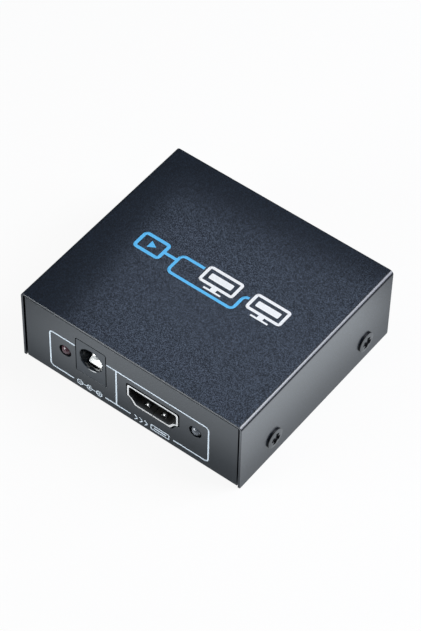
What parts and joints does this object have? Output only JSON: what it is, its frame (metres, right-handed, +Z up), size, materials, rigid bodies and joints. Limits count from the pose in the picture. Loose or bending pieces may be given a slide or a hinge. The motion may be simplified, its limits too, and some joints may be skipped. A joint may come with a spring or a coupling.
{
  "type": "video splitter",
  "caption": "Compact video splitter box: folded steel cover over a sheet chassis, with an input socket, barrel power jack and lights in front and output sockets at the rear.",
  "frame": {"origin": "middle of the footprint, on the surface that the base stands on", "axes": "+Z up; the front panel with the input socket and the power jack faces -Y; +X to the right of someone who looks at the front panel"},
  "size_m": [0.0664, 0.06, 0.023],
  "materials": {
    "panel_paint": "satin dark grey paint",
    "cover_paint": "fine sand-texture powder coat, near black",
    "black_screw": "black oxide",
    "standoff_brass": "turned",
    "plated_screw": "zinc plated",
    "board_laminate": "green solder mask",
    "socket_plating": "bright nickel plate",
    "socket_plastic": "moulded black",
    "contact_gilding": "gold flash",
    "jack_plastic": "moulded dark grey",
    "jack_plating": "bright nickel plate",
    "tinned_metal": "tinned",
    "red_lens": "tinted clear resin",
    "clear_lens": "water-clear resin",
    "chip_resin": "moulded",
    "can_aluminium": "drawn",
    "ferrite": "pressed",
    "ceramic_chip": "fired"
  },
  "bodies": {
    "enclosure": {"base_chassis": "panel_paint", "top_cover": "cover_paint", "cover_screws": "black_screw", "board_standoffs": "standoff_brass", "board_screws": "plated_screw", "circuit_board": "board_laminate", "input_socket_shell": "socket_plating", "output_socket_1_shell": "socket_plating", "output_socket_2_shell": "socket_plating", "input_socket_insulator": "socket_plastic", "output_socket_1_insulator": "socket_plastic", "output_socket_2_insulator": "socket_plastic", "input_socket_contacts": "contact_gilding", "output_socket_1_contacts": "contact_gilding", "output_socket_2_contacts": "contact_gilding", "power_jack_housing": "jack_plastic", "power_jack_pin": "jack_plating", "power_jack_terminals": "tinned_metal", "power_led_leads": "tinned_metal", "input_led_leads": "tinned_metal", "output_led_1_leads": "tinned_metal", "output_led_2_leads": "tinned_metal", "splitter_chip_pins": "tinned_metal", "memory_chip_pins": "tinned_metal", "regulator_leads": "tinned_metal", "power_led_lens": "red_lens", "input_led_lens": "clear_lens", "output_led_1_lens": "clear_lens", "output_led_2_lens": "clear_lens", "splitter_chip": "chip_resin", "memory_chips": "chip_resin", "regulator": "chip_resin", "chip_resistors": "chip_resin", "crystal": "can_aluminium", "electrolytic_capacitors": "can_aluminium", "power_inductor": "ferrite", "chip_capacitors": "ceramic_chip"},
    "jack_spring": {"power_jack_spring": "jack_plating"}
  },
  "joints": [
    {"name": "jack_spring_bend", "type": "hinge", "parent": "enclosure", "child": "jack_spring", "pos_m": [-0.0117, -0.01865, 0.00978], "axis": [1, 0, 0], "range_deg": [0, 9], "stiffness_Nm_per_rad": 0.16}
  ]
}
